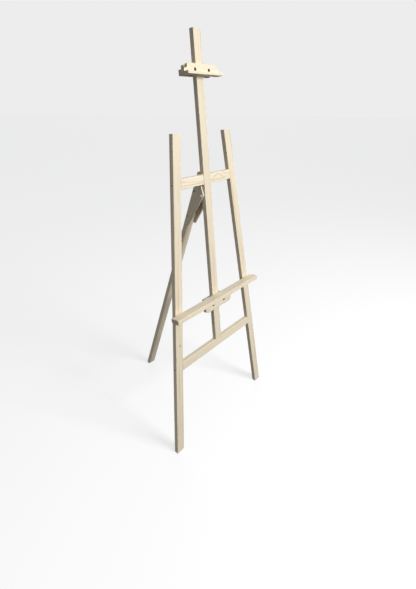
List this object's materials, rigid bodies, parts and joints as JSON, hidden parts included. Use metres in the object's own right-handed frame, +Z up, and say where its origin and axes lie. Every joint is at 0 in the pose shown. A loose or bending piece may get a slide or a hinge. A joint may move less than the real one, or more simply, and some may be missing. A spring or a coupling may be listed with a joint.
{
  "type": "h frame easel",
  "caption": "Free-standing wooden easel: splayed front legs, two crossbars, a tall mast with sliding tray and clamp, and a folding rear leg.",
  "frame": {"origin": "centre of the easel's footprint on the floor, midway from the front feet's front faces to the rear foot's back", "axes": "+Z up from the floor, +X to the artist's right when facing the easel, +Y from the artist's side towards the rear leg"},
  "size_m": [0.6602, 0.5868, 1.7066],
  "materials": {
    "pine": "raw planed",
    "screw_steel": "dull",
    "bolt_steel": "zinc plated",
    "black_steel": "blackened"
  },
  "bodies": {
    "frame": {"left_leg": "pine", "right_leg": "pine", "mast": "pine", "upper_crossbar": "pine", "lower_crossbar": "pine", "crossbar_screws": "screw_steel", "lap_screws": "screw_steel", "mast_foot_screw": "screw_steel"},
    "rear_support": {"rear_leg": "pine", "left_cheek": "pine", "right_cheek": "pine", "cheek_screws": "screw_steel", "pivot_bolt": "bolt_steel", "pivot_washer": "bolt_steel", "pivot_nut": "bolt_steel"},
    "clamp": {"clamp_front": "pine", "clamp_back": "pine", "clamp_bolts": "black_steel", "clamp_washers": "bolt_steel"},
    "clamp_nut_left": {"clamp_wing_nut_left": "bolt_steel"},
    "clamp_nut_right": {"clamp_wing_nut_right": "bolt_steel"},
    "tray": {"tray_shelf": "pine", "tray_apron": "pine", "tray_back": "pine", "tray_bolts": "black_steel", "tray_washers": "bolt_steel"},
    "tray_nut_left": {"tray_wing_nut_left": "bolt_steel"},
    "tray_nut_right": {"tray_wing_nut_right": "bolt_steel"}
  },
  "joints": [
    {"name": "rear_leg_fold", "type": "hinge", "parent": "frame", "child": "rear_support", "pos_m": [0, -0.1649, 1.11769], "axis": [-1, 0, 0], "range_deg": [0, 25]},
    {"name": "clamp_slide", "type": "slide", "parent": "frame", "child": "clamp", "axis": [0, 0.1045, 0.9945], "range_m": [-0.32, 0.11]},
    {"name": "tray_slide", "type": "slide", "parent": "frame", "child": "tray", "axis": [0, 0.1045, 0.9945], "range_m": [-0.15, 0.285]},
    {"name": "clamp_nut_left_spin", "type": "hinge", "parent": "clamp", "child": "clamp_nut_left", "pos_m": [-0.037, -0.09666, 1.56802], "axis": [0, 0.9945, -0.1045], "continuous": true},
    {"name": "clamp_nut_right_spin", "type": "hinge", "parent": "clamp", "child": "clamp_nut_right", "pos_m": [0.037, -0.09666, 1.56802], "axis": [0, 0.9945, -0.1045], "continuous": true},
    {"name": "tray_nut_left_spin", "type": "hinge", "parent": "tray", "child": "tray_nut_left", "pos_m": [-0.037, -0.19544, 0.6282], "axis": [0, 0.9945, -0.1045], "continuous": true},
    {"name": "tray_nut_right_spin", "type": "hinge", "parent": "tray", "child": "tray_nut_right", "pos_m": [0.037, -0.19544, 0.6282], "axis": [0, 0.9945, -0.1045], "continuous": true}
  ]
}
